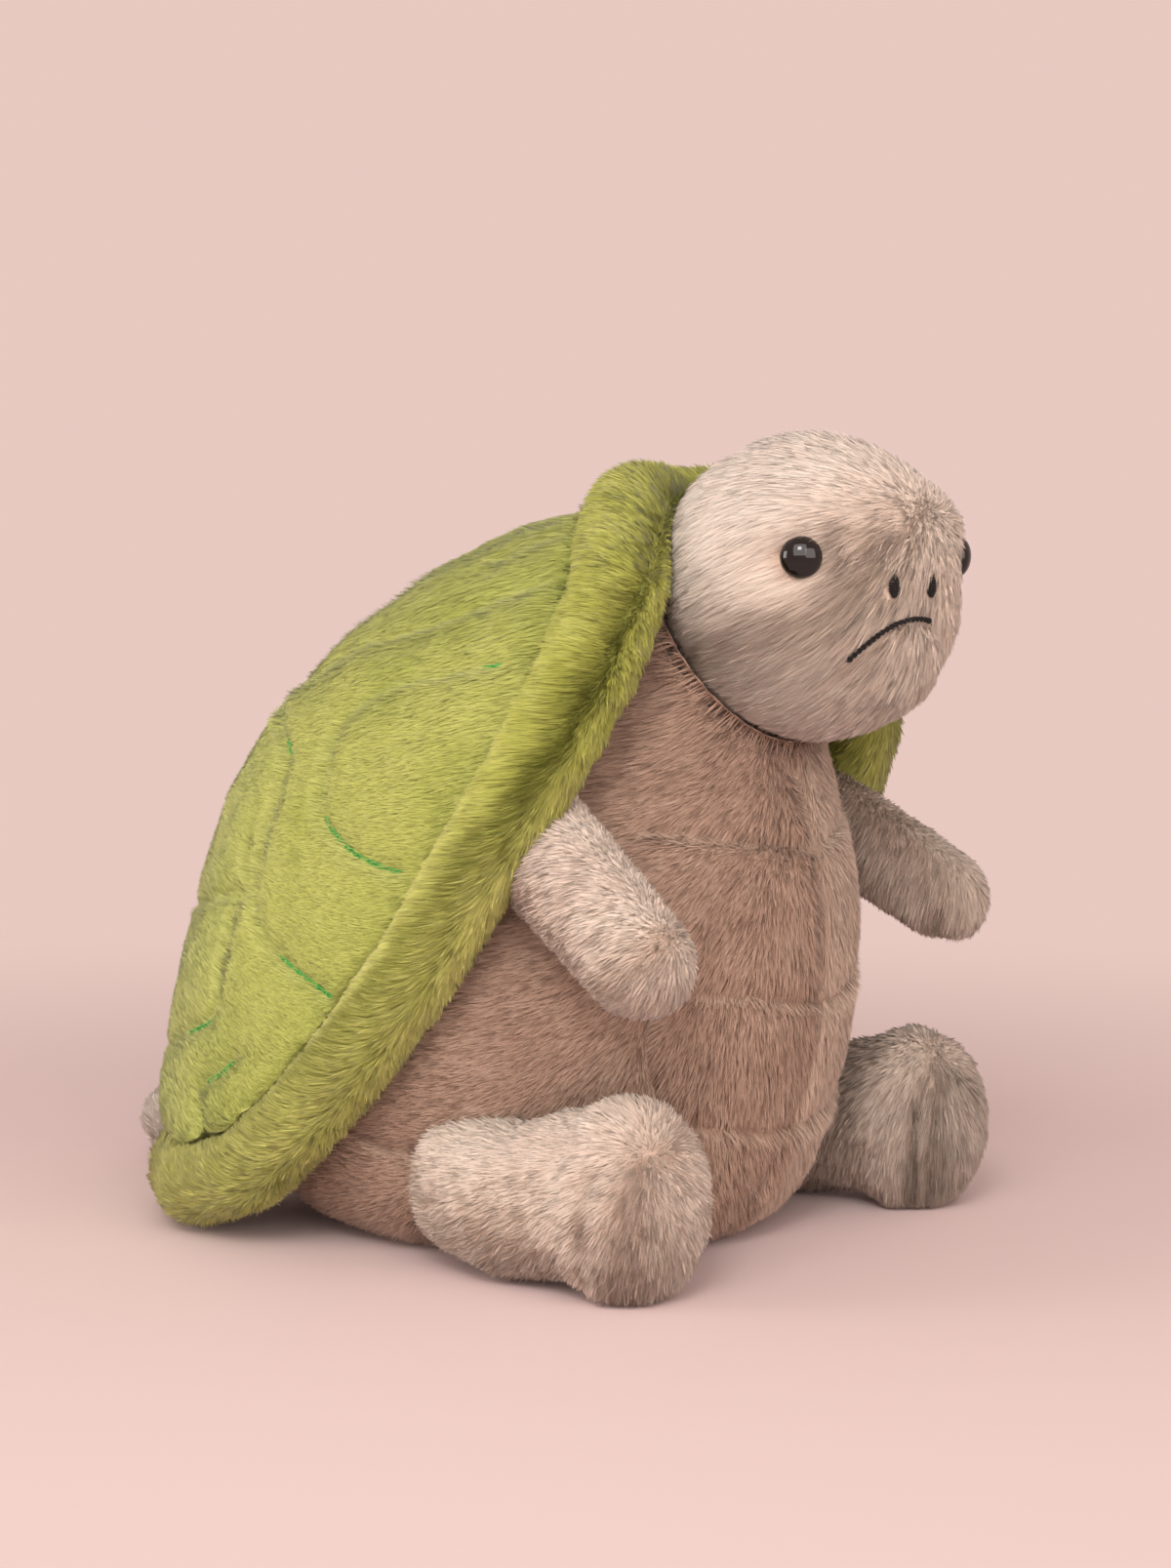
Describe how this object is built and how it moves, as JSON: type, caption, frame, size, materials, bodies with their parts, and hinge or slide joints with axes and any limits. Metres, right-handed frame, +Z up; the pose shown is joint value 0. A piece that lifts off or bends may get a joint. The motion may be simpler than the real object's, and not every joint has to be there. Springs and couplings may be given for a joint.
{
  "type": "plush turtle",
  "caption": "Seated stuffed toy turtle with a ball head, blunt arms, standing feet and a quilted domed shell edged by a padded roll.",
  "frame": {"origin": "on the standing plane, under the middle of the whole turtle", "axes": "+Z up, the turtle faces -Y, its left side is +X"},
  "size_m": [0.2402, 0.339, 0.2687],
  "materials": {
    "torso_plush": "short pile plush, brown taupe",
    "limb_plush": "short pile plush, pinkish beige with light tips",
    "shell_plush": "short pile plush, olive green with yellow tips",
    "stuffing": "loose polyester fibre",
    "bean_cloth": "cotton bag of pellets",
    "eye_gloss": "polished black-brown",
    "washer_plastic": "moulded",
    "black_thread": "satin stitch"
  },
  "bodies": {
    "torso": {"torso_cover": "torso_plush", "torso_filling": "stuffing", "base_bean_bag": "bean_cloth", "shell_cover": "shell_plush", "shell_wadding": "stuffing", "shell_lining": "shell_plush", "rim_cover": "shell_plush", "rim_filling": "stuffing"},
    "neck": {"neck_gusset": "torso_plush"},
    "head": {"head_cover": "limb_plush", "head_filling": "stuffing", "eye_left": "eye_gloss", "eye_right": "eye_gloss", "eye_washer_left": "washer_plastic", "eye_washer_right": "washer_plastic", "nostril_left": "black_thread", "nostril_right": "black_thread", "mouth_thread": "black_thread"},
    "arm_left": {"arm_cover_left": "limb_plush", "arm_filling_left": "stuffing"},
    "arm_right": {"arm_cover_right": "limb_plush", "arm_filling_right": "stuffing"},
    "leg_left": {"leg_cover_left": "limb_plush", "leg_filling_left": "stuffing", "foot_bean_bag_left": "bean_cloth"},
    "leg_right": {"leg_cover_right": "limb_plush", "leg_filling_right": "stuffing", "foot_bean_bag_right": "bean_cloth"},
    "tail": {"tail_cover": "limb_plush", "tail_filling": "stuffing"}
  },
  "joints": [
    {"name": "neck_turn", "type": "hinge", "parent": "torso", "child": "neck", "pos_m": [0, -0.12654, 0.2187], "axis": [0, -0.8191, 0.5736], "range_deg": [-25, 25], "stiffness_Nm_per_rad": 0.6},
    {"name": "head_nod", "type": "hinge", "parent": "neck", "child": "head", "pos_m": [0, -0.12654, 0.2187], "axis": [1, 0, 0], "range_deg": [-10, 15], "stiffness_Nm_per_rad": 0.6},
    {"name": "arm_swing_left", "type": "hinge", "parent": "torso", "child": "arm_left", "pos_m": [0.07604, -0.06051, 0.148], "axis": [0.8618, -0.4005, 0.3114], "range_deg": [-10, 25], "stiffness_Nm_per_rad": 0.6},
    {"name": "arm_swing_right", "type": "hinge", "parent": "torso", "child": "arm_right", "pos_m": [-0.07604, -0.06051, 0.148], "axis": [0.8618, 0.4005, -0.3114], "range_deg": [-10, 25], "stiffness_Nm_per_rad": 0.6},
    {"name": "leg_lift_left", "type": "hinge", "parent": "torso", "child": "leg_left", "pos_m": [0.08676, -0.04635, 0.03], "axis": [0.8869, -0.4199, -0.1925], "range_deg": [-20, 0], "stiffness_Nm_per_rad": 1},
    {"name": "leg_lift_right", "type": "hinge", "parent": "torso", "child": "leg_right", "pos_m": [-0.08676, -0.04635, 0.03], "axis": [0.8869, 0.4199, 0.1925], "range_deg": [-20, 0], "stiffness_Nm_per_rad": 1},
    {"name": "tail_wag", "type": "hinge", "parent": "torso", "child": "tail", "pos_m": [0, 0.07572, 0.017], "axis": [0, 0, 1], "range_deg": [-20, 20], "stiffness_Nm_per_rad": 0.2}
  ]
}
